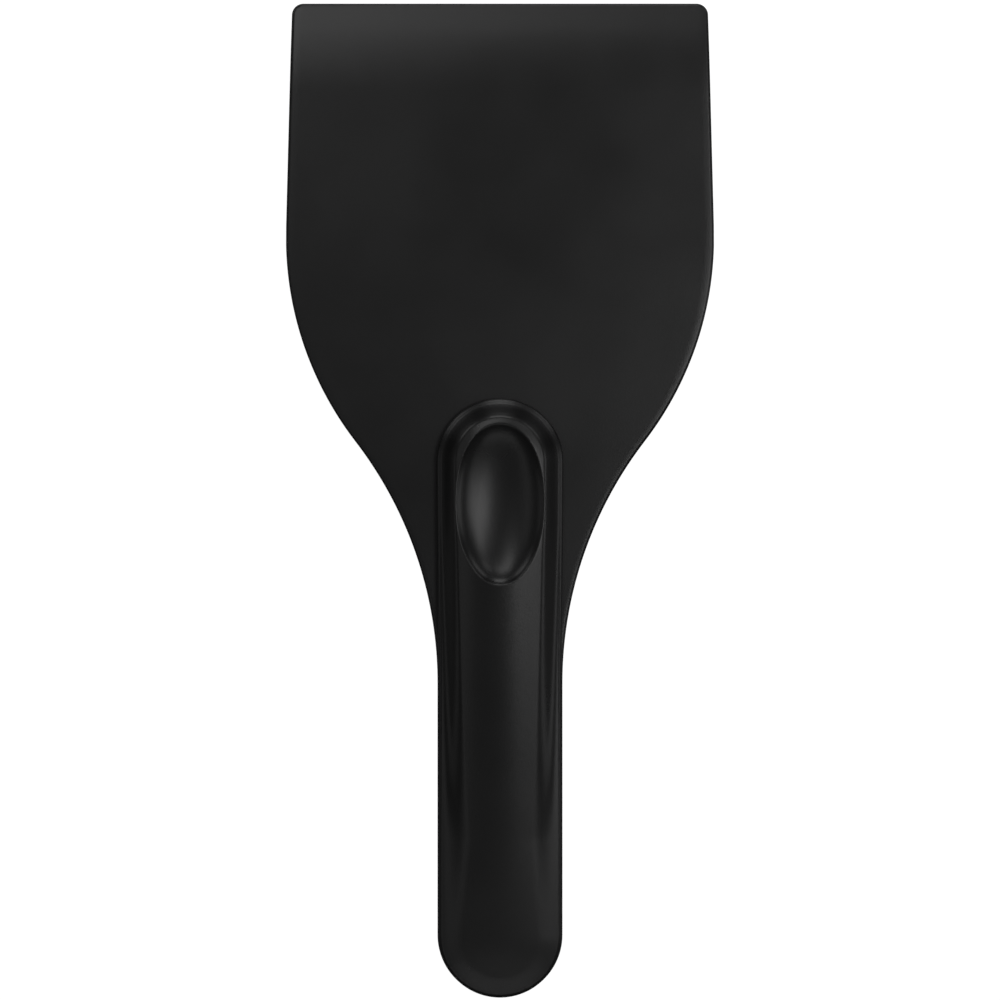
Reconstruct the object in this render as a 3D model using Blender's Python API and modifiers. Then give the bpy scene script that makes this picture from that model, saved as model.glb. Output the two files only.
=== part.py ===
"""Hand-held windscreen ice scraper: a bevelled blade whose tang is screwed between two handle shells.

The scraper lies on the flat back of its handle. X runs across the blade, +Y points to the scraping
edge and +Z is up, away from the back. The origin is at the middle of the whole object, at the height
of the handle's flat back. All sizes are in metres.
"""
import math

import bmesh
import bpy

# Whole object
LENGTH = 0.215
FIT_GAP = 0.0003

# Blade, seen from the front
EDGE_HALF_WIDTH = 0.04505
EDGE_CORNER_RADIUS = 0.0025
FLARE_ANGLE = math.radians(1.41)
FLARE_LENGTH = 0.049
SHOULDER_RADIUS = 0.0722
NECK_RADIUS = 0.0858
HANDLE_HALF_WIDTH = 0.0135

# Blade, seen from the side
BLADE_THICKNESS = 0.0034
BEVEL_ANGLE = math.radians(8.0)
BEVEL_FLAT_LENGTH = 0.005
BEVEL_BLEND_LENGTH = 0.014
BEVEL_BLEND_STEPS = 8
RIM_ROUNDING = 0.0007

# Handle shells, seen from the front
NOSE_DISTANCE = 0.0856
NOSE_HALF_WIDTH = 0.0137
TAPER_DISTANCE = 0.150
SHELL_HALF_WIDTH = 0.01325
SHELL_WALL = 0.0020

# Front shell: a flange with a rounded edge, and on it a boss with a sloping wall and a crowned top.
# The boss gets lower and less steep towards the handle's end: pairs are its sizes at the two
# distances where their taper starts and ends.
FLANGE_THICKNESS = 0.0020
FLANGE_ROUNDING = 0.0009
ROUNDING_STEPS = 3
HEIGHT_TAPER = (0.118, 0.213)
SLOPE_TAPER = (0.112, 0.180)
WALL_FOOT = (0.0011, 0.0018)
WALL_SLOPE = (1.9, 0.6)
WALL_HEIGHT = (0.0042, 0.0003)
CROWN_HEIGHT = (0.0018, 0.0008)
CROWN_RINGS = 9
CROWN_LAST_SHARE = 0.04

# Rear shell's section
REAR_DEPTH = 0.0070
REAR_EDGE_RADIUS = 0.0045
REAR_RINGS = 8
RIB_THICKNESS = 0.0014
RIB_DISTANCES = (0.127, 0.164, 0.197)

# Thumb recess
RECESS_DISTANCE = 0.1081
RECESS_HALF_WIDTH = 0.0105
RECESS_HALF_LENGTH = 0.0177
RECESS_DEPTH = 0.0044
RECESS_SEGMENTS = 40

# Screws and their bosses
SCREW_DISTANCES = {"nose": 0.1081, "middle": 0.1460, "end": 0.1820}
SCREW_SHANK_RADIUS = 0.0014
SCREW_HEAD_RADIUS = 0.0027
SCREW_HEAD_HEIGHT = 0.0018
SCREW_HEAD_ROUNDING = 0.0008
HEAD_ROUNDING_STEPS = 3
SCREW_LENGTH = 0.0103
SCREW_POINT_LENGTH = 0.0016
SCREW_POINT_RADIUS = 0.0005
DRIVE_SLOT_WIDTH = 0.0007
DRIVE_SLOT_LENGTH = 0.0030
DRIVE_SLOT_DEPTH = 0.0009
COUNTERBORE_RADIUS = 0.0033
COUNTERBORE_DEPTH = 0.0030
BOSS_RADIUS = 0.0034
ROUND_SEGMENTS = 28

# Heights that follow from the stack: rear shell, gap, blade, gap, front shell
BLADE_BOTTOM = REAR_DEPTH + FIT_GAP
BLADE_TOP = BLADE_BOTTOM + BLADE_THICKNESS
FRONT_BOTTOM = BLADE_TOP + FIT_GAP
FRONT_TOP = FRONT_BOTTOM + FLANGE_THICKNESS + WALL_HEIGHT[0] + CROWN_HEIGHT[0]
SCREW_SEAT = COUNTERBORE_DEPTH - FIT_GAP
SCREW_TIP = SCREW_SEAT + SCREW_LENGTH
HOLE_RADIUS = SCREW_SHANK_RADIUS + FIT_GAP

# How finely curves are drawn, and how far cutters reach past what they cut
ARC_POINTS = 12
SIDE_POINTS = 12
CURVE_STEP = math.radians(3.0)
CUTTER_REACH = 0.002


def along(distance):
    """Y of a place that lies this far back from the scraping edge."""
    return LENGTH / 2 - distance


def arc(centre_x, centre_y, radius, start, end):
    """Points along an arc, ends included, a few degrees apart. Angles are in radians from +X."""
    count = max(2, math.ceil(abs(end - start) / CURVE_STEP))
    angles = [start + (end - start) * step / count for step in range(count + 1)]
    return [(centre_x + radius * math.cos(a), centre_y + radius * math.sin(a)) for a in angles]


def remove_scene_objects():
    for item in list(bpy.data.objects):
        bpy.data.objects.remove(item, do_unlink=True)


def new_collection(name, hidden=False):
    collection = bpy.data.collections.new(name)
    bpy.context.scene.collection.children.link(collection)
    collection.hide_render = hidden
    return collection


def black_plastic(name, roughness):
    material = bpy.data.materials.new(name)
    material.use_nodes = True
    shader = material.node_tree.nodes["Principled BSDF"]
    shader.inputs["Base Color"].default_value = (0.012, 0.012, 0.012, 1.0)
    shader.inputs["Roughness"].default_value = roughness
    return material


def zinc_plated_steel():
    material = bpy.data.materials.new("zinc_plated_steel")
    material.use_nodes = True
    shader = material.node_tree.nodes["Principled BSDF"]
    shader.inputs["Base Color"].default_value = (0.55, 0.55, 0.56, 1.0)
    shader.inputs["Metallic"].default_value = 1.0
    shader.inputs["Roughness"].default_value = 0.35
    return material


def add_object(name, mesh, collection):
    item = bpy.data.objects.new(name, mesh)
    collection.objects.link(item)
    return item


def mark_cutter(item):
    item.hide_render = True
    item.display_type = "WIRE"
    return item


def combine(item, tool, operation):
    modifier = item.modifiers.new(f"{operation.lower()}_{tool.name}", "BOOLEAN")
    modifier.operation = operation
    modifier.solver = "EXACT"
    modifier.object = tool


def extruded_outline(name, points, low, high, collection):
    """A closed flat outline, extruded from one height to another and welded into a mesh object."""
    curve = bpy.data.curves.new(name, "CURVE")
    curve.dimensions = "2D"
    curve.fill_mode = "BOTH"
    curve.extrude = (high - low) / 2
    spline = curve.splines.new("POLY")
    spline.points.add(len(points) - 1)
    for point, (x, y) in zip(spline.points, points):
        point.co = (x, y, 0, 1)
    spline.use_cyclic_u = True
    drawn = bpy.data.objects.new(f"{name}_curve", curve)
    collection.objects.link(drawn)
    drawn.location.z = (low + high) / 2
    bpy.context.view_layer.update()
    evaluated = drawn.evaluated_get(bpy.context.evaluated_depsgraph_get())
    mesh = bpy.data.meshes.new_from_object(evaluated)
    mesh.transform(drawn.matrix_world)
    bpy.data.objects.remove(drawn, do_unlink=True)
    bpy.data.curves.remove(curve)
    welded = bmesh.new()
    welded.from_mesh(mesh)
    bmesh.ops.remove_doubles(welded, verts=welded.verts, dist=1e-6)
    bmesh.ops.recalc_face_normals(welded, faces=welded.faces)
    welded.to_mesh(mesh)
    welded.free()
    return add_object(name, mesh, collection)


def cylinder(name, radius, y, low, high, collection, top_radius=None):
    """An upright cylinder, or a cone if the top has its own radius."""
    mesh = bpy.data.meshes.new(name)
    shape = bmesh.new()
    bmesh.ops.create_cone(
        shape,
        cap_ends=True,
        segments=ROUND_SEGMENTS,
        radius1=radius,
        radius2=radius if top_radius is None else top_radius,
        depth=high - low,
    )
    bmesh.ops.translate(shape, verts=shape.verts, vec=(0, y, (low + high) / 2))
    shape.to_mesh(mesh)
    shape.free()
    return add_object(name, mesh, collection)


def box(name, size, centre, collection):
    mesh = bpy.data.meshes.new(name)
    shape = bmesh.new()
    bmesh.ops.create_cube(shape, size=1.0)
    bmesh.ops.scale(shape, verts=shape.verts, vec=size)
    bmesh.ops.translate(shape, verts=shape.verts, vec=centre)
    shape.to_mesh(mesh)
    shape.free()
    return add_object(name, mesh, collection)


def cap_in_strips(shape, loop):
    """Closes a ring that is mirrored about the handle's middle with strips from side to side."""
    for i in range(len(loop) // 2):
        corners = (loop[i], loop[i + 1], loop[-i - 1], loop[-i])
        shape.faces.new(dict.fromkeys(corners))


def loft(name, rings, collection, strip_top=False):
    """A closed body through a stack of rings, which all have the same number of points.

    Its ends are single flat faces. A top that isn't flat is closed with strips instead.
    """
    shape = bmesh.new()
    loops = [[shape.verts.new(point) for point in ring] for ring in rings]
    for lower, upper in zip(loops, loops[1:]):
        count = len(lower)
        for i in range(count):
            j = (i + 1) % count
            shape.faces.new((lower[i], lower[j], upper[j], upper[i]))
    shape.faces.new(list(reversed(loops[0])))
    if strip_top:
        cap_in_strips(shape, loops[-1])
    else:
        shape.faces.new(loops[-1])
    bmesh.ops.recalc_face_normals(shape, faces=shape.faces)
    mesh = bpy.data.meshes.new(name)
    shape.to_mesh(mesh)
    shape.free()
    return add_object(name, mesh, collection)


def shell_outline():
    """The handle shells' outline, a slightly tapered stadium, as its middle line and its border.

    Each entry is (x, y, centre_y): the border's point, and the height on the middle line that the
    point moves towards when the outline is drawn smaller.
    """
    nose_y = along(NOSE_DISTANCE + NOSE_HALF_WIDTH)
    taper_y = along(TAPER_DISTANCE)
    end_y = along(LENGTH - HANDLE_HALF_WIDTH)
    quarter = [math.pi / 2 * i / ARC_POINTS for i in range(ARC_POINTS + 1)]
    right = []
    for a in quarter:
        right.append((NOSE_HALF_WIDTH * math.sin(a), nose_y + NOSE_HALF_WIDTH * math.cos(a), nose_y))
    for i in range(1, SIDE_POINTS + 1):
        y = nose_y + (end_y - nose_y) * i / (SIDE_POINTS + 1)
        share = min(1.0, (nose_y - y) / (nose_y - taper_y))
        x = NOSE_HALF_WIDTH + (SHELL_HALF_WIDTH - NOSE_HALF_WIDTH) * share
        right.append((x, y, y))
    for a in quarter:
        right.append((SHELL_HALF_WIDTH * math.cos(a), end_y - SHELL_HALF_WIDTH * math.sin(a), end_y))
    left = [(-x, y, centre_y) for x, y, centre_y in reversed(right[1:-1])]
    return right + left


def shell_ring(inset_at, height_at):
    """A ring round the shells. Its inset and its height are functions of the place along the handle."""
    ring = []
    for x, y, centre_y in shell_outline():
        left = 1 - inset_at(y) / math.hypot(x, y - centre_y)
        ring_y = centre_y + (y - centre_y) * left
        ring.append((x * left, ring_y, height_at(ring_y)))
    return ring


def level_ring(inset, z):
    return shell_ring(lambda y: inset, lambda y: z)


def taper(y, sizes, distances):
    """A size that changes steadily from its value at one distance to its value at another."""
    start, end = distances
    share = min(1.0, max(0.0, (along(start) - y) / (end - start)))
    return sizes[0] + (sizes[1] - sizes[0]) * share


def wall_foot(y):
    """Inset where the boss's wall starts to rise from the flange."""
    return taper(y, WALL_FOOT, SLOPE_TAPER)


def wall_height(y):
    return taper(y, WALL_HEIGHT, HEIGHT_TAPER)


def wall_shoulder(y):
    """Inset where the boss's wall meets its crowned top."""
    return wall_foot(y) + wall_height(y) / taper(y, WALL_SLOPE, SLOPE_TAPER)


def flange_rings():
    """Rings up the front shell's flange and over its rounded edge."""
    rings = [level_ring(0.0, FRONT_BOTTOM)]
    for i in range(ROUNDING_STEPS + 1):
        turn = math.pi / 2 * i / ROUNDING_STEPS
        inset = FLANGE_ROUNDING * (1 - math.cos(turn))
        drop = FLANGE_ROUNDING * (1 - math.sin(turn))
        rings.append(level_ring(inset, FRONT_BOTTOM + FLANGE_THICKNESS - drop))
    return rings


def crown_ring(base, extra_inset, share):
    """A ring on the crowned top. Its share is 1 at the shoulder and 0 at the middle line."""

    def inset_at(y):
        return SHELL_HALF_WIDTH - share * (SHELL_HALF_WIDTH - wall_shoulder(y) - extra_inset)

    def height_at(y):
        bulge = taper(y, CROWN_HEIGHT, HEIGHT_TAPER) * (1 - share ** 2)
        return base + wall_height(y) + bulge

    return shell_ring(inset_at, height_at)


def boss_rings(base, extra_inset):
    """Rings from the foot of the boss's wall over its crown, or of the hollow further in."""
    rings = [shell_ring(lambda y: wall_foot(y) + extra_inset, lambda y: base)]
    for i in range(CROWN_RINGS + 1):
        rings.append(crown_ring(base, extra_inset, 1 - (1 - CROWN_LAST_SHARE) * i / CROWN_RINGS))
    return rings


def blade_half_outline():
    """The blade's right half from the scraping edge's middle round to the handle's end."""
    flare_x = EDGE_HALF_WIDTH + FLARE_LENGTH * math.tan(FLARE_ANGLE)
    shoulder_x = flare_x - SHOULDER_RADIUS * math.cos(FLARE_ANGLE)
    shoulder_y = along(FLARE_LENGTH + SHOULDER_RADIUS * math.sin(FLARE_ANGLE))
    neck_x = HANDLE_HALF_WIDTH + NECK_RADIUS
    across = neck_x - shoulder_x
    neck_y = shoulder_y - math.sqrt((SHOULDER_RADIUS + NECK_RADIUS) ** 2 - across ** 2)
    meeting = math.atan2(neck_y - shoulder_y, across)
    corner_x = EDGE_HALF_WIDTH - EDGE_CORNER_RADIUS
    corner_y = along(EDGE_CORNER_RADIUS)
    points = [(0.0, along(0))]
    points += arc(corner_x, corner_y, EDGE_CORNER_RADIUS, math.pi / 2, -FLARE_ANGLE)
    points += arc(shoulder_x, shoulder_y, SHOULDER_RADIUS, -FLARE_ANGLE, meeting)
    points += arc(neck_x, neck_y, NECK_RADIUS, meeting + math.pi, math.pi)[1:]
    end_y = along(LENGTH - HANDLE_HALF_WIDTH)
    points += arc(0, end_y, HANDLE_HALF_WIDTH, 0, -math.pi / 2)
    return points


def bevel_profile():
    """(y, z) pairs down the bevel: a tangent arc from level, then straight past the edge."""
    blend_radius = BEVEL_BLEND_LENGTH / math.sin(BEVEL_ANGLE)
    start = BEVEL_FLAT_LENGTH + BEVEL_BLEND_LENGTH
    profile = []
    for i in range(BEVEL_BLEND_STEPS + 1):
        turn = BEVEL_ANGLE * i / BEVEL_BLEND_STEPS
        distance = start - blend_radius * math.sin(turn)
        profile.append((along(distance), BLADE_TOP - blend_radius * (1 - math.cos(turn))))
    last_y, last_z = profile[-1]
    run = along(-CUTTER_REACH) - last_y
    profile.append((last_y + run, last_z - run * math.tan(BEVEL_ANGLE)))
    return profile


def make_bevel_cutter(cutters):
    """A long prism whose underside is the bevel's surface."""
    side = bevel_profile()
    first_y = side[0][0]
    last_y = side[-1][0]
    side.append((last_y, BLADE_TOP + CUTTER_REACH))
    side.append((first_y, BLADE_TOP + CUTTER_REACH))
    reach = EDGE_HALF_WIDTH + CUTTER_REACH
    rings = [[(x, y, z) for y, z in side] for x in (-reach, reach)]
    return mark_cutter(loft("bevel_cutter", rings, cutters))


def make_blade(parts, cutters, material):
    right = blade_half_outline()
    left = [(-x, y) for x, y in reversed(right[1:-1])]
    blade = extruded_outline("blade", right + left, BLADE_BOTTOM, BLADE_TOP, parts)
    combine(blade, make_bevel_cutter(cutters), "DIFFERENCE")
    for place, distance in SCREW_DISTANCES.items():
        hole = cylinder(
            f"tang_hole_{place}",
            HOLE_RADIUS,
            along(distance),
            BLADE_BOTTOM - FIT_GAP,
            BLADE_TOP + FIT_GAP,
            cutters,
        )
        combine(blade, mark_cutter(hole), "DIFFERENCE")
    rounding = blade.modifiers.new("rim_rounding", "BEVEL")
    rounding.width = RIM_ROUNDING
    rounding.segments = 2
    rounding.limit_method = "ANGLE"
    rounding.angle_limit = math.radians(50)
    blade.data.materials.append(material)
    return blade


def recess_ellipsoid(name, growth, collection):
    """The thumb recess as an ellipsoid whose centre is level with the boss's highest point."""
    mesh = bpy.data.meshes.new(name)
    shape = bmesh.new()
    rings = RECESS_SEGMENTS // 2
    bmesh.ops.create_uvsphere(shape, u_segments=RECESS_SEGMENTS, v_segments=rings, radius=1.0)
    size = (
        RECESS_HALF_WIDTH + growth,
        RECESS_HALF_LENGTH + growth,
        RECESS_DEPTH + growth,
    )
    bmesh.ops.scale(shape, verts=shape.verts, vec=size)
    centre = (0, along(RECESS_DISTANCE), FRONT_TOP)
    bmesh.ops.translate(shape, verts=shape.verts, vec=centre)
    shape.to_mesh(mesh)
    shape.free()
    return mark_cutter(add_object(name, mesh, collection))


def make_front_shell(parts, cutters, material):
    outside = flange_rings() + boss_rings(FRONT_BOTTOM + FLANGE_THICKNESS, 0.0)
    shell = loft("handle_front_shell", outside, parts, strip_top=True)
    inside = boss_rings(FRONT_BOTTOM + FLANGE_THICKNESS - SHELL_WALL, SHELL_WALL)
    hollow = mark_cutter(loft("front_hollow", inside, cutters, strip_top=True))
    combine(hollow, recess_ellipsoid("recess_underside", SHELL_WALL, cutters), "DIFFERENCE")
    for place, distance in SCREW_DISTANCES.items():
        boss = cylinder(
            f"front_boss_{place}",
            BOSS_RADIUS,
            along(distance),
            FRONT_BOTTOM,
            FRONT_TOP,
            cutters,
        )
        combine(hollow, mark_cutter(boss), "DIFFERENCE")

    combine(shell, hollow, "DIFFERENCE")
    combine(shell, recess_ellipsoid("thumb_recess", 0.0, cutters), "DIFFERENCE")
    for place, distance in SCREW_DISTANCES.items():
        pilot = cylinder(
            f"front_pilot_{place}",
            HOLE_RADIUS,
            along(distance),
            FRONT_BOTTOM - FIT_GAP,
            SCREW_TIP + FIT_GAP,
            cutters,
        )
        combine(shell, mark_cutter(pilot), "DIFFERENCE")
    shell.data.materials.append(material)
    return shell


def make_rear_shell(parts, cutters, material):
    rings = [level_ring(0.0, REAR_DEPTH)]
    for i in range(REAR_RINGS + 1):
        turn = math.pi / 2 * i / REAR_RINGS
        inset = REAR_EDGE_RADIUS * (1 - math.cos(turn))
        rings.append(level_ring(inset, REAR_EDGE_RADIUS * (1 - math.sin(turn))))
    shell = loft("handle_rear_shell", rings, parts)

    inner_radius = REAR_EDGE_RADIUS - SHELL_WALL
    inner_rings = REAR_RINGS // 2
    inside = [level_ring(SHELL_WALL, REAR_DEPTH + FIT_GAP)]
    for i in range(inner_rings + 1):
        turn = math.pi / 2 * i / inner_rings
        inset = SHELL_WALL + inner_radius * (1 - math.cos(turn))
        inside.append(level_ring(inset, SHELL_WALL + inner_radius * (1 - math.sin(turn))))
    hollow = mark_cutter(loft("rear_hollow", inside, cutters))
    for number, distance in enumerate(RIB_DISTANCES, start=1):
        rib = box(
            f"rear_rib_{number}",
            (2 * NOSE_HALF_WIDTH, RIB_THICKNESS, 2 * REAR_DEPTH),
            (0, along(distance), REAR_DEPTH),
            cutters,
        )
        combine(hollow, mark_cutter(rib), "DIFFERENCE")
    for place, distance in SCREW_DISTANCES.items():
        boss = cylinder(
            f"rear_boss_{place}",
            COUNTERBORE_RADIUS + SHELL_WALL / 2,
            along(distance),
            0,
            REAR_DEPTH + 2 * FIT_GAP,
            cutters,
        )
        combine(hollow, mark_cutter(boss), "DIFFERENCE")

    combine(shell, hollow, "DIFFERENCE")
    for place, distance in SCREW_DISTANCES.items():
        counterbore = cylinder(
            f"counterbore_{place}",
            COUNTERBORE_RADIUS,
            along(distance),
            -FIT_GAP,
            COUNTERBORE_DEPTH,
            cutters,
        )
        hole = cylinder(
            f"rear_hole_{place}",
            HOLE_RADIUS,
            along(distance),
            -FIT_GAP,
            REAR_DEPTH + FIT_GAP,
            cutters,
        )
        combine(shell, mark_cutter(counterbore), "DIFFERENCE")
        combine(shell, mark_cutter(hole), "DIFFERENCE")
    shell.data.materials.append(material)
    return shell


def screw_profile():
    """(radius, height) pairs of a pan-head screw, from its head's middle up to its point."""
    head_low = SCREW_SEAT - SCREW_HEAD_HEIGHT
    rim_radius = SCREW_HEAD_RADIUS - SCREW_HEAD_ROUNDING
    profile = [(0.0, head_low)]
    for i in range(HEAD_ROUNDING_STEPS + 1):
        turn = math.pi / 2 * i / HEAD_ROUNDING_STEPS
        rise = SCREW_HEAD_ROUNDING * (1 - math.cos(turn))
        profile.append((rim_radius + SCREW_HEAD_ROUNDING * math.sin(turn), head_low + rise))
    profile.append((SCREW_HEAD_RADIUS, SCREW_SEAT))
    profile.append((SCREW_SHANK_RADIUS, SCREW_SEAT))
    profile.append((SCREW_SHANK_RADIUS, SCREW_TIP - SCREW_POINT_LENGTH))
    profile.append((SCREW_POINT_RADIUS, SCREW_TIP))
    profile.append((0.0, SCREW_TIP))
    return profile


def make_screw(place, distance, parts, cutters, material):
    mesh = bpy.data.meshes.new(f"screw_{place}")
    shape = bmesh.new()
    profile = [shape.verts.new((radius, 0, z)) for radius, z in reversed(screw_profile())]
    for low, high in zip(profile, profile[1:]):
        shape.edges.new((low, high))
    shape.to_mesh(mesh)
    shape.free()
    screw = add_object(f"screw_{place}", mesh, parts)
    screw.location.y = along(distance)
    turned = screw.modifiers.new("turned", "SCREW")
    turned.steps = ROUND_SEGMENTS
    turned.render_steps = ROUND_SEGMENTS
    turned.use_merge_vertices = True
    turned.merge_threshold = 0.00001
    head_low = SCREW_SEAT - SCREW_HEAD_HEIGHT
    sizes = {
        "across": (DRIVE_SLOT_LENGTH, DRIVE_SLOT_WIDTH, 2 * DRIVE_SLOT_DEPTH),
        "along": (DRIVE_SLOT_WIDTH, DRIVE_SLOT_LENGTH, 2 * DRIVE_SLOT_DEPTH),
    }
    for direction, size in sizes.items():
        slot = box(
            f"drive_{direction}_{place}", size, (0, along(distance), head_low), cutters
        )
        combine(screw, mark_cutter(slot), "DIFFERENCE")
    screw.data.materials.append(material)
    return screw


def main():
    remove_scene_objects()
    parts = new_collection("ice_scraper")
    cutters = new_collection("cutters", hidden=True)
    make_blade(parts, cutters, black_plastic("blade_plastic", 0.42))
    handle_plastic = black_plastic("handle_plastic", 0.45)
    make_front_shell(parts, cutters, handle_plastic)
    make_rear_shell(parts, cutters, handle_plastic)
    steel = zinc_plated_steel()
    for place, distance in SCREW_DISTANCES.items():
        make_screw(place, distance, parts, cutters, steel)


main()
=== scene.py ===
"""Looks of a black plastic windscreen scraper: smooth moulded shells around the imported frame."""
import math

import bmesh
import bpy
import numpy as np
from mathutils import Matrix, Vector


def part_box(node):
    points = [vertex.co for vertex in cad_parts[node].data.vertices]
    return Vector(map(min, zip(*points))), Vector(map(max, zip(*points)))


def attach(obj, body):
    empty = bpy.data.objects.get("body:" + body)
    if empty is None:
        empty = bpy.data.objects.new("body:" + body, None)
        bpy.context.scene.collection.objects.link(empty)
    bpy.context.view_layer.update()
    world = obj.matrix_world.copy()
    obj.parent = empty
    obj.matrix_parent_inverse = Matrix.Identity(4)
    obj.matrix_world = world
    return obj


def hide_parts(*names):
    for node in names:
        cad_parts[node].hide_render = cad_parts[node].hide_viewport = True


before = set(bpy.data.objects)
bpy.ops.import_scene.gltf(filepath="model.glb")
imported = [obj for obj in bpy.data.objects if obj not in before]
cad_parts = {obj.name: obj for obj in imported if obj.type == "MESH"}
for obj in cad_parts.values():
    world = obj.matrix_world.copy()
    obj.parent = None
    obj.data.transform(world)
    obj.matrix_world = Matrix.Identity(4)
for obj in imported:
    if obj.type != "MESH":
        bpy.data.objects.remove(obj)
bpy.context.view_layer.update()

MM = 0.001

# Where the frame puts things
blade_low, blade_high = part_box("blade")
front_low, front_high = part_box("handle_front_shell")
_, rear_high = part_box("handle_rear_shell")
LENGTH = blade_high.y - blade_low.y
EDGE_Y = blade_high.y
END_Y = blade_low.y
SCREW_NAMES = ("screw_nose", "screw_middle", "screw_end")

# Blade
EDGE_HALF_WIDTH = 45.05 * MM
EDGE_CORNER_RADIUS = 2.5 * MM
FLARE_ANGLE = math.radians(1.41)
FLARE_LENGTH = 49.0 * MM
SHOULDER_RADIUS = 72.2 * MM
NECK_RADIUS = 85.8 * MM
HANDLE_HALF_WIDTH = 13.5 * MM
BEVEL_ANGLE = math.radians(8.0)
BEVEL_FLAT = 5.0 * MM
BEVEL_BLEND = 14.0 * MM
RIM_ROUNDING = 0.7 * MM
RIM_STEPS = 6
BLADE_COLUMNS = 60
HOLE_RADIUS = 1.7 * MM
SHARP_ANGLE = math.radians(30.0)

# Handle shells
SHELL_END_HALF = 13.25 * MM
NOSE_HALF = front_high.x
TAPER_DISTANCE = 150.0 * MM
SHELL_WALL = 2.0 * MM
FLANGE_THICKNESS = 2.0 * MM
FLANGE_ROUNDING = 0.9 * MM
FOOT_FILLET = 1.4 * MM
SHOULDER_FILLET = 1.0 * MM

# Boss on the front shell: sizes at the two distances where their taper starts and ends
HEIGHT_TAPER = (118.0 * MM, 213.0 * MM)
SLOPE_TAPER = (112.0 * MM, 180.0 * MM)
WALL_FOOT = (1.1 * MM, 1.8 * MM)
WALL_SLOPE = (1.7, 0.6)
CROWN_HEIGHT = (1.8 * MM, 0.8 * MM)
WALL_HEIGHT = (4.15 * MM, 0.3 * MM)
REAR_EDGE_RADIUS = 4.5 * MM
REAR_LIP = 0.25 * MM
COUNTERBORE_RADIUS = 3.3 * MM
COUNTERBORE_DEPTH = 3.0 * MM

# Thumb recess
RECESS_DISTANCE = 108.1 * MM
RECESS_HALF_WIDTH = 10.1 * MM
RECESS_HALF_LENGTH = 17.6 * MM
RECESS_DEPTH = 4.4 * MM
RECESS_LIP_BLEND = 0.45 * MM
RECESS_OUTSIDE_SLOPE = 3

# Camera: FRAME_MARGIN is the picture's width over the object's length
LENS = 135.0
SENSOR = 36.0
FRAME_MARGIN = 1.00452

# Studio
FLOOR_SIZE = 6.0
FLOOR_GAP = 0.2 * MM
CEILING = 0.6
LOW_LIGHT_DISTANCE = 0.7
LOW_LIGHT_RISE = 18.0
WORLD_STRENGTH = 0.03

# Plastic
ROUGHNESS = 0.30
SHEEN_CHANGE = 0.02
CLOUD_SCALE = 38.0
WEAR_SCALE = 420.0
WEAR_POINTINESS = (0.52, 0.6)
WEAR_GLOSS = 0.06
BLACK_SHADES = (0.0085, 0.0125)
GRAIN_SCALE = 2600.0
GRAIN_HEIGHT = 0.012 * MM


def along(distance):
    """Y of a place this far back from the scraping edge."""
    return EDGE_Y - distance


def arc(centre_x, centre_y, radius, start, end, step=math.radians(1.0)):
    count = max(2, math.ceil(abs(end - start) / step))
    angles = np.linspace(start, end, count + 1)
    return [(centre_x + radius * math.cos(a), centre_y + radius * math.sin(a)) for a in angles]


def mesh_object(name, vertices, faces):
    mesh = bpy.data.meshes.new(name)
    mesh.from_pydata([tuple(v) for v in vertices], [], faces)
    tidy = bmesh.new()
    tidy.from_mesh(mesh)
    bmesh.ops.remove_doubles(tidy, verts=tidy.verts, dist=1e-7)
    bmesh.ops.dissolve_degenerate(tidy, edges=tidy.edges, dist=1e-8)
    bmesh.ops.recalc_face_normals(tidy, faces=tidy.faces)
    tidy.to_mesh(mesh)
    tidy.free()
    mesh.shade_smooth()
    item = bpy.data.objects.new(name, mesh)
    bpy.context.scene.collection.objects.link(item)
    return item


def loop_faces(first, second, count):
    """Quads between two closed loops of vertices that start at these indices."""
    return [
        (first + i, first + (i + 1) % count, second + (i + 1) % count, second + i)
        for i in range(count)
    ]


# ---------------------------------------------------------------- blade


def blade_right_side():
    """The blade's right side as (x, y), from the corner's start round to the handle's end."""
    flare_x = EDGE_HALF_WIDTH + FLARE_LENGTH * math.tan(FLARE_ANGLE)
    shoulder_x = flare_x - SHOULDER_RADIUS * math.cos(FLARE_ANGLE)
    shoulder_y = along(FLARE_LENGTH + SHOULDER_RADIUS * math.sin(FLARE_ANGLE))
    neck_x = HANDLE_HALF_WIDTH + NECK_RADIUS
    across = neck_x - shoulder_x
    neck_y = shoulder_y - math.sqrt((SHOULDER_RADIUS + NECK_RADIUS) ** 2 - across ** 2)
    meeting = math.atan2(neck_y - shoulder_y, across)
    corner_x = EDGE_HALF_WIDTH - EDGE_CORNER_RADIUS
    corner_y = along(EDGE_CORNER_RADIUS)
    corner = arc(corner_x, corner_y, EDGE_CORNER_RADIUS, math.pi / 2, -FLARE_ANGLE, math.radians(5))
    side_end = (flare_x, along(FLARE_LENGTH))
    side = [tuple(p) for p in np.linspace(corner[-1], side_end, 60)][1:-1]
    shoulder = arc(shoulder_x, shoulder_y, SHOULDER_RADIUS, -FLARE_ANGLE, meeting)
    neck = arc(neck_x, neck_y, NECK_RADIUS, meeting + math.pi, math.pi)[1:]
    end_y = END_Y + HANDLE_HALF_WIDTH
    handle = [tuple(p) for p in np.linspace(neck[-1], (HANDLE_HALF_WIDTH, end_y), 40)][1:-1]
    end = arc(0, end_y, HANDLE_HALF_WIDTH, 0, -math.pi / 2, math.radians(3))
    return np.array(corner + side + shoulder + neck + handle + end)


def outward_normals(points):
    """Outward unit normals along the right side, which runs clockwise seen from the front."""
    ahead = np.gradient(points, axis=0)
    normals = np.stack([-ahead[:, 1], ahead[:, 0]], axis=1)
    normals /= np.linalg.norm(normals, axis=1)[:, None]
    normals[0] = (0, 1)
    normals[-1] = (0, -1)
    return normals


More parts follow.
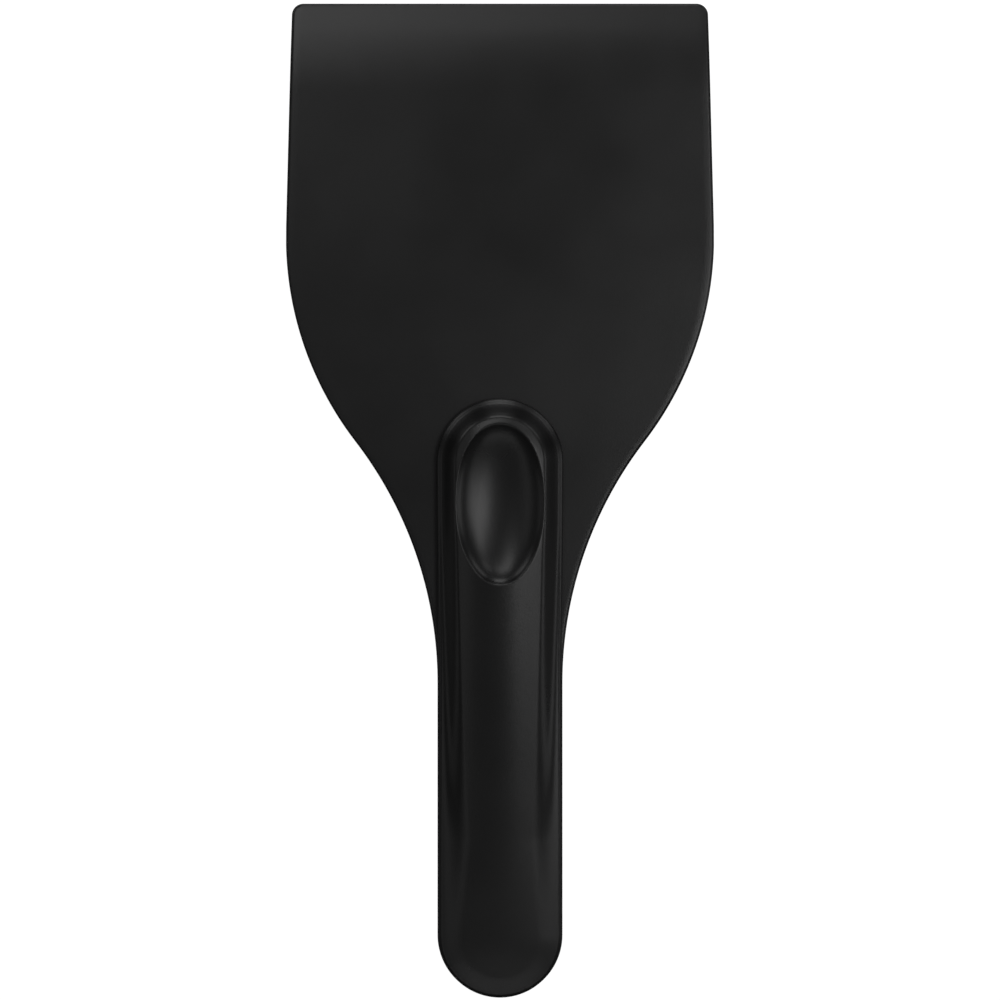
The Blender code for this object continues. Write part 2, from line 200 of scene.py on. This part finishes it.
def bevel_drop(y):
    """How far the blade's front face is below its flat, going down to the scraping edge."""
    distance = EDGE_Y - y
    start = BEVEL_FLAT + BEVEL_BLEND
    radius = BEVEL_BLEND / math.sin(BEVEL_ANGLE)
    if distance >= start:
        return 0.0
    if distance >= BEVEL_FLAT:
        return radius - math.sqrt(radius ** 2 - (start - distance) ** 2)
    return radius * (1 - math.cos(BEVEL_ANGLE)) + (BEVEL_FLAT - distance) * math.tan(BEVEL_ANGLE)


def make_blade():
    side = blade_right_side()
    normals = outward_normals(side)
    rows = len(side)
    columns = BLADE_COLUMNS
    spread = np.linspace(-1, 1, columns + 1)
    vertices = []
    faces = []

    def surface(level, sign):
        """Rows of vertices over one face, inset by the rim's rounding. Sign is 1 for the front."""
        inset = side - normals * RIM_ROUNDING
        first = len(vertices)
        for x, y in inset:
            z = level - (bevel_drop(y) if sign > 0 else 0.0)
            vertices.extend((x * u, y, z) for u in spread)
        for i in range(rows - 1):
            for j in range(columns):
                a = first + i * (columns + 1) + j
                faces.append((a, a + 1, a + columns + 2, a + columns + 1))
        return first

    def border(first):
        """Indices round a face's border: down its right side, back up its left, along its top."""
        right = [first + i * (columns + 1) + columns for i in range(rows)]
        left = [first + i * (columns + 1) for i in range(rows - 2, -1, -1)]
        top = [first + j for j in range(1, columns)]
        return right + left + top

    front = surface(blade_high.z, 1)
    back = surface(blade_low.z, -1)

    left_side = (side * (-1, 1))[-2::-1]
    left_normals = (normals * (-1, 1))[-2::-1]
    top_x = spread[1:-1] * (side[0][0] - normals[0][0] * RIM_ROUNDING)
    top_side = np.stack([top_x, np.full(columns - 1, side[0][1])], axis=1)
    top_normals = np.tile((0.0, 1.0), (columns - 1, 1))
    outline = np.concatenate([side, left_side, top_side])
    outline_normals = np.concatenate([normals, left_normals, top_normals])
    count = len(outline)
    previous = border(front)
    for level, turns in ((1, range(1, RIM_STEPS + 1)), (-1, range(RIM_STEPS, 0, -1))):
        for k in turns:
            turn = math.pi / 2 * k / RIM_STEPS
            inset = RIM_ROUNDING * (1 - math.sin(turn))
            drop = RIM_ROUNDING * (1 - math.cos(turn))
            ring = []
            for (x, y), (nx, ny) in zip(outline, outline_normals):
                px, py = x - nx * inset, y - ny * inset
                if level > 0:
                    z = blade_high.z - bevel_drop(py) - drop
                else:
                    z = blade_low.z + drop
                ring.append(len(vertices))
                vertices.append((px, py, z))
            for i in range(count):
                j = (i + 1) % count
                faces.append((previous[i], previous[j], ring[j], ring[i]))
            previous = ring
    last = border(back)
    for i in range(count):
        j = (i + 1) % count
        faces.append((previous[i], previous[j], last[j], last[i]))
    return mesh_object("blade_moulding", vertices, faces)


# ---------------------------------------------------------------- handle shells


def shell_path(count_nose, count_side, count_end):
    """The shells' outline, as a function that draws it smaller by an inset for each place."""
    nose_turns = np.linspace(0, math.pi / 2, count_nose + 1)
    end_turns = np.linspace(0, math.pi / 2, count_end + 1)
    nose_y = front_high.y - NOSE_HALF
    end_y = END_Y + HANDLE_HALF_WIDTH
    taper_y = along(TAPER_DISTANCE)
    side_y = np.linspace(nose_y, end_y, count_side + 1)[1:-1]
    share = np.clip((nose_y - side_y) / (nose_y - taper_y), 0, 1)
    side_x = NOSE_HALF + (SHELL_END_HALF - NOSE_HALF) * share * share * (3 - 2 * share)
    nose_middle = np.full(count_nose + 1, nose_y)
    end_middle = np.full(count_end + 1, end_y)
    x = np.concatenate([NOSE_HALF * np.sin(nose_turns), side_x, SHELL_END_HALF * np.cos(end_turns)])
    nose_rise = NOSE_HALF * np.cos(nose_turns)
    end_fall = SHELL_END_HALF * np.sin(end_turns)
    y = np.concatenate([nose_y + nose_rise, side_y, end_y - end_fall])
    middle = np.concatenate([nose_middle, side_y, end_middle])

    def ring(inset_at):
        left = 1 - inset_at(y) / SHELL_END_HALF
        ring_x = x * left
        ring_y = middle + (y - middle) * left
        return np.concatenate([ring_x, -ring_x[-2:0:-1]]), np.concatenate([ring_y, ring_y[-2:0:-1]])

    return ring


def taper(y, sizes, distances):
    """A size that changes steadily from its value at one distance to its value at another."""
    share = np.clip((along(distances[0]) - y) / (distances[1] - distances[0]), 0, 1)
    return sizes[0] + (sizes[1] - sizes[0]) * share


def wall_foot(y):
    return taper(y, WALL_FOOT, SLOPE_TAPER)


def smooth_min(a, b, blend):
    """The lower of two heights, with the crease between them rounded off."""
    mix = np.clip(0.5 + 0.5 * (b - a) / blend, 0, 1)
    return b + (a - b) * mix - blend * mix * (1 - mix)


def smooth_max(a, b, blend):
    return -smooth_min(-a, -b, blend)


def shell_height(inset, y):
    """Height of the front shell's outside above its underside, before the recess is pressed in."""
    rounding = np.sqrt(np.clip(1 - (1 - np.minimum(inset / FLANGE_ROUNDING, 1)) ** 2, 0, 1))
    flange = FLANGE_THICKNESS - FLANGE_ROUNDING * (1 - rounding)
    foot = wall_foot(y)
    slope = taper(y, WALL_SLOPE, SLOPE_TAPER)
    wall_height = taper(y, WALL_HEIGHT, HEIGHT_TAPER)
    wall = FLANGE_THICKNESS + (inset - foot) * slope
    half = SHELL_END_HALF - foot - wall_height / slope
    bulge = taper(y, CROWN_HEIGHT, HEIGHT_TAPER) * (1 - ((SHELL_END_HALF - inset) / half) ** 2)
    crown = FLANGE_THICKNESS + wall_height + bulge
    return smooth_max(flange, smooth_min(wall, crown, SHOULDER_FILLET), FOOT_FILLET)


def pressed(x, y, height):
    """The shell's height with the thumb recess pressed in."""
    across = x / RECESS_HALF_WIDTH
    down = (y - along(RECESS_DISTANCE)) / RECESS_HALF_LENGTH
    radius = np.sqrt(across ** 2 + down ** 2)
    crown = FLANGE_THICKNESS + WALL_HEIGHT[0] + CROWN_HEIGHT[0]
    bowl = crown - RECESS_DEPTH * np.sqrt(np.clip(1 - radius ** 2, 0, None))
    outside = np.clip(radius - 1, 0, None) * RECESS_HALF_WIDTH
    bowl = bowl + outside * RECESS_OUTSIDE_SLOPE
    return smooth_min(height, bowl, RECESS_LIP_BLEND)


def shell_insets():
    """The front shell's rings as functions of y, close together where its section turns."""
    insets = []
    for turn in np.linspace(0, math.pi / 2, 13):
        insets.append(lambda y, part=1 - math.cos(turn): FLANGE_ROUNDING * part + 0 * y)
    top = SHELL_END_HALF - FLANGE_ROUNDING
    for part in np.linspace(0, 1, 110)[1:]:
        insets.append(lambda y, part=part: FLANGE_ROUNDING + top * part + 0 * y)
    return insets


def hollow_insets():
    insets = []
    for part in np.linspace(1, 0, 40):

        def inset_at(y, part=part):
            edge = wall_foot(y) + SHELL_WALL
            return edge + (SHELL_END_HALF - edge) * part

        insets.append(inset_at)
    return insets


def make_front_shell():
    ring = shell_path(90, 520, 80)
    base = front_low.z
    vertices = []
    loops = []

    def add_loop(inset_at, height_at):
        x, y = ring(inset_at)
        loops.append(len(vertices))
        vertices.extend(zip(x, y, base + height_at(inset_at(y), x, y)))
        return len(x)

    def outside(inset, x, y):
        return pressed(x, y, shell_height(inset, y))

    def inside(inset, x, y):
        return np.maximum(outside(inset, x, y) - SHELL_WALL, SHELL_WALL / 4)

    def underside(inset, x, y):
        return 0 * y

    for inset_at in hollow_insets():
        add_loop(inset_at, inside)
    add_loop(lambda y: wall_foot(y) + SHELL_WALL, underside)
    add_loop(lambda y: 0 * y, underside)
    for inset_at in shell_insets():
        count = add_loop(inset_at, outside)
    faces = []
    for low, high in zip(loops, loops[1:]):
        faces.extend(loop_faces(low, high, count))
    return mesh_object("front_shell_moulding", vertices, faces)


def screw_places():
    """The screws' axes, from their boxes in the frame."""
    places = []
    for name in SCREW_NAMES:
        low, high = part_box(name)
        places.append((low + high) / 2)
    return places


def cut(item, radius, low, high):
    """Cuts an upright round hole at each screw."""
    for place in screw_places():
        shape = bmesh.new()
        bmesh.ops.create_cone(
            shape, cap_ends=True, segments=96, radius1=radius, radius2=radius, depth=high - low
        )
        bmesh.ops.translate(shape, verts=shape.verts, vec=(place.x, place.y, (low + high) / 2))
        mesh = bpy.data.meshes.new("drill")
        shape.to_mesh(mesh)
        shape.free()
        drill = bpy.data.objects.new("drill", mesh)
        bpy.context.scene.collection.objects.link(drill)
        hole = item.modifiers.new("hole", "BOOLEAN")
        hole.operation = "DIFFERENCE"
        hole.solver = "EXACT"
        hole.object = drill
        apply_modifiers(item)
        bpy.data.objects.remove(drill, do_unlink=True)


def apply_modifiers(item):
    evaluated = item.evaluated_get(bpy.context.evaluated_depsgraph_get())
    mesh = bpy.data.meshes.new_from_object(evaluated)
    mesh.set_sharp_from_angle(angle=SHARP_ANGLE)
    item.modifiers.clear()
    item.data = mesh


def make_rear_shell():
    ring = shell_path(48, 60, 48)
    top = rear_high.z
    vertices = []
    loops = []

    def add_ring(inset, z):
        x, y = ring(lambda y: inset)
        loops.append(len(vertices))
        vertices.extend(zip(x, y, np.full(len(x), z)))
        return len(x)

    inner = REAR_EDGE_RADIUS - SHELL_WALL
    add_ring(SHELL_END_HALF, SHELL_WALL)
    for turn in np.linspace(math.pi / 2, 0, 9):
        inset = SHELL_WALL + inner * (1 - math.cos(turn))
        add_ring(inset, SHELL_WALL + inner * (1 - math.sin(turn)))
    add_ring(SHELL_WALL, top)
    for turn in np.linspace(0, math.pi / 2, 5):
        add_ring(REAR_LIP * (1 - math.sin(turn)), top - REAR_LIP * (1 - math.cos(turn)))
    for turn in np.linspace(0, math.pi / 2, 19):
        inset = REAR_EDGE_RADIUS * (1 - math.cos(turn))
        add_ring(inset, REAR_EDGE_RADIUS * (1 - math.sin(turn)))
    count = add_ring(SHELL_END_HALF, 0.0)
    faces = []
    for low, high in zip(loops, loops[1:]):
        faces.extend(loop_faces(low, high, count))
    return mesh_object("rear_shell_moulding", vertices, faces)


# ---------------------------------------------------------------- materials


def new_material(name):
    """A node material, with its tree, its shader and the coordinates that its textures use."""
    material = bpy.data.materials.new(name)
    material.use_nodes = True
    tree = material.node_tree
    shader = tree.nodes["Principled BSDF"]
    place = tree.nodes.new("ShaderNodeTexCoord")
    return material, tree, shader, place.outputs["Object"]


def noise(tree, place, scale, detail, roughness=0.5):
    made = tree.nodes.new("ShaderNodeTexNoise")
    made.inputs["Scale"].default_value = scale
    made.inputs["Detail"].default_value = detail
    made.inputs["Roughness"].default_value = roughness
    tree.links.new(place, made.inputs["Vector"])
    return made.outputs["Fac"]


def remap(tree, source, source_range, target_range):
    made = tree.nodes.new("ShaderNodeMapRange")
    made.inputs["From Min"].default_value, made.inputs["From Max"].default_value = source_range
    made.inputs["To Min"].default_value, made.inputs["To Max"].default_value = target_range
    tree.links.new(source, made.inputs["Value"])
    return made.outputs["Result"]


def calculate(tree, operation, first, second):
    made = tree.nodes.new("ShaderNodeMath")
    made.operation = operation
    tree.links.new(first, made.inputs[0])
    if isinstance(second, (int, float)):
        made.inputs[1].default_value = second
    else:
        tree.links.new(second, made.inputs[1])
    return made.outputs["Value"]


def grey_ramp(tree, source, dark, light):
    made = tree.nodes.new("ShaderNodeValToRGB")
    for stop, position, value in zip(made.color_ramp.elements, (0.3, 0.7), (dark, light)):
        stop.position = position
        stop.color = (value, value, value * 1.02, 1.0)
    tree.links.new(source, made.inputs["Fac"])
    return made.outputs["Color"]


def bump(tree, shader, source, height):
    made = tree.nodes.new("ShaderNodeBump")
    made.inputs["Distance"].default_value = height
    tree.links.new(source, made.inputs["Height"])
    tree.links.new(made.outputs["Normal"], shader.inputs["Normal"])


def satin_black(name, roughness, grain_height):
    """Black moulded plastic: spark grain, cloudy sheen, and edges that handling has polished."""
    material, tree, shader, place = new_material(name)
    grain = noise(tree, place, GRAIN_SCALE, 3.0, 0.6)
    bump(tree, shader, grain, grain_height)
    cloud = noise(tree, place, CLOUD_SCALE, 2.0)
    sheen_range = (roughness - SHEEN_CHANGE, roughness + SHEEN_CHANGE)
    sheen = remap(tree, cloud, (0.3, 0.7), sheen_range)
    geometry = tree.nodes.new("ShaderNodeNewGeometry")
    edges = remap(tree, geometry.outputs["Pointiness"], WEAR_POINTINESS, (0.0, 1.0))
    worn = calculate(tree, "MULTIPLY", edges, noise(tree, place, WEAR_SCALE, 4.0))
    tree.links.new(
        calculate(tree, "SUBTRACT", sheen, calculate(tree, "MULTIPLY", worn, WEAR_GLOSS)),
        shader.inputs["Roughness"],
    )
    shade = calculate(tree, "ADD", cloud, calculate(tree, "MULTIPLY", worn, 0.5))
    tree.links.new(grey_ramp(tree, shade, *BLACK_SHADES), shader.inputs["Base Color"])
    return material


def plated_steel():
    material, tree, shader, place = new_material("plated_steel")
    shader.inputs["Metallic"].default_value = 1.0
    spangle = noise(tree, place, 900.0, 4.0)
    bump(tree, shader, spangle, 0.01 * MM)
    tree.links.new(grey_ramp(tree, spangle, 0.42, 0.62), shader.inputs["Base Color"])
    rough = remap(tree, spangle, (0.0, 1.0), (0.25, 0.45))
    tree.links.new(rough, shader.inputs["Roughness"])
    return material


# ---------------------------------------------------------------- studio


def make_camera():
    data = bpy.data.cameras.new("camera")
    data.lens = LENS
    data.sensor_width = SENSOR
    camera = bpy.data.objects.new("camera", data)
    bpy.context.scene.collection.objects.link(camera)
    camera.location = (0.0, 0.0, blade_high.z + LENGTH * FRAME_MARGIN * LENS / SENSOR)
    bpy.context.scene.camera = camera


def area_light(name, location, size, power, target):
    data = bpy.data.lights.new(name, "AREA")
    data.shape = "RECTANGLE"
    data.size, data.size_y = size
    data.energy = power
    light = bpy.data.objects.new(name, data)
    bpy.context.scene.collection.objects.link(light)
    light.location = location
    direction = Vector(target) - light.location
    light.rotation_euler = direction.to_track_quat("-Z", "Y").to_euler()


def ceiling_light(name, x, y, size, power):
    """A softbox in the ceiling, facing straight down."""
    area_light(name, (x, y, CEILING), size, power, (x, y, 0))


def low_light(name, side, size, power):
    """A softbox just above the floor on one side of the object, facing it."""
    turn = math.radians(side)
    rise = math.radians(LOW_LIGHT_RISE)
    away = LOW_LIGHT_DISTANCE * math.cos(rise)
    location = (away * math.cos(turn), away * math.sin(turn), LOW_LIGHT_DISTANCE * math.sin(rise))
    area_light(name, location, size, power, (0, 0, LENGTH / 20))


def make_floor():
    """A plain floor that looks evenly white to the camera, so that no shadow shows on it."""
    bpy.ops.mesh.primitive_plane_add(size=FLOOR_SIZE, location=(0, 0, -FLOOR_GAP))
    floor = bpy.context.object
    floor.name = "floor"
    material, tree, shader, _ = new_material("floor")
    shader.inputs["Base Color"].default_value = (0.2, 0.2, 0.2, 1.0)
    shader.inputs["Roughness"].default_value = 0.9
    shader.inputs["Emission Color"].default_value = (1.0, 1.0, 1.0, 1.0)
    rays = tree.nodes.new("ShaderNodeLightPath")
    tree.links.new(rays.outputs["Is Camera Ray"], shader.inputs["Emission Strength"])
    floor.data.materials.append(material)


def dress(item, material, nodes):
    item.data.materials.clear()
    item.data.materials.append(material)
    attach(item, "root")
    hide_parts(*nodes)


make_camera()
blade = make_blade()
cut(blade, HOLE_RADIUS, blade_low.z - MM, blade_high.z + MM)
dress(blade, satin_black("blade_plastic", ROUGHNESS, GRAIN_HEIGHT), ["blade"])
handle_plastic = satin_black("handle_plastic", ROUGHNESS, GRAIN_HEIGHT)
front = make_front_shell()
dress(front, handle_plastic, ["handle_front_shell"])
rear = make_rear_shell()
cut(rear, COUNTERBORE_RADIUS, -MM, COUNTERBORE_DEPTH)
cut(rear, HOLE_RADIUS, -MM, rear_high.z + MM)
dress(rear, handle_plastic, ["handle_rear_shell"])
steel = plated_steel()
for screw in SCREW_NAMES:
    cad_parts[screw].data.materials.clear()
    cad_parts[screw].data.materials.append(steel)

make_floor()
# Most of these places and powers are rounded results of a numeric fit, not chosen by hand.
# They break the brief's rule on tables of numbers made by another program: see report.md.
# They come from a fit made by another program.
ceiling_light("right", 0.375, 0.0, (0.30, 0.15), 0.30)
ceiling_light("right_inner", 0.22, 0.0, (0.15, 0.15), 0.31)
ceiling_light("right_upper", 0.30, 0.15, (0.15, 0.15), 0.18)
ceiling_light("right_lower", 0.45, -0.15, (0.15, 0.15), 0.055)
ceiling_light("top", -0.075, 0.45, (0.30, 0.15), 0.33)
ceiling_light("top_right", 0.30, 0.45, (0.15, 0.15), 0.15)
ceiling_light("top_left", -0.15, 0.30, (0.15, 0.15), 0.155)
ceiling_light("left_high", -0.15, 0.15, (0.15, 0.15), 0.03)
ceiling_light("left", -0.42, -0.05, (0.20, 0.60), 0.15)
ceiling_light("overhead", -0.10, -0.10, (0.50, 0.35), 0.035)
ceiling_light("bottom", 0.0, -0.45, (0.75, 0.15), 0.30)
low_light("low_top", 90.0, (0.30, 0.20), 0.45)
low_light("low_top_left", 135.0, (0.30, 0.20), 0.25)
low_light("low_top_right", 45.0, (0.30, 0.20), 0.22)
low_light("low_right", 0.0, (0.30, 0.20), 0.20)
low_light("low_left", 180.0, (0.30, 0.20), 0.06)

world = bpy.data.worlds.new("studio")
bpy.context.scene.world = world
world.use_nodes = True
world.node_tree.nodes["Background"].inputs["Color"].default_value = (1, 1, 1, 1)
world.node_tree.nodes["Background"].inputs["Strength"].default_value = WORLD_STRENGTH
bpy.context.scene.view_settings.view_transform = "Standard"
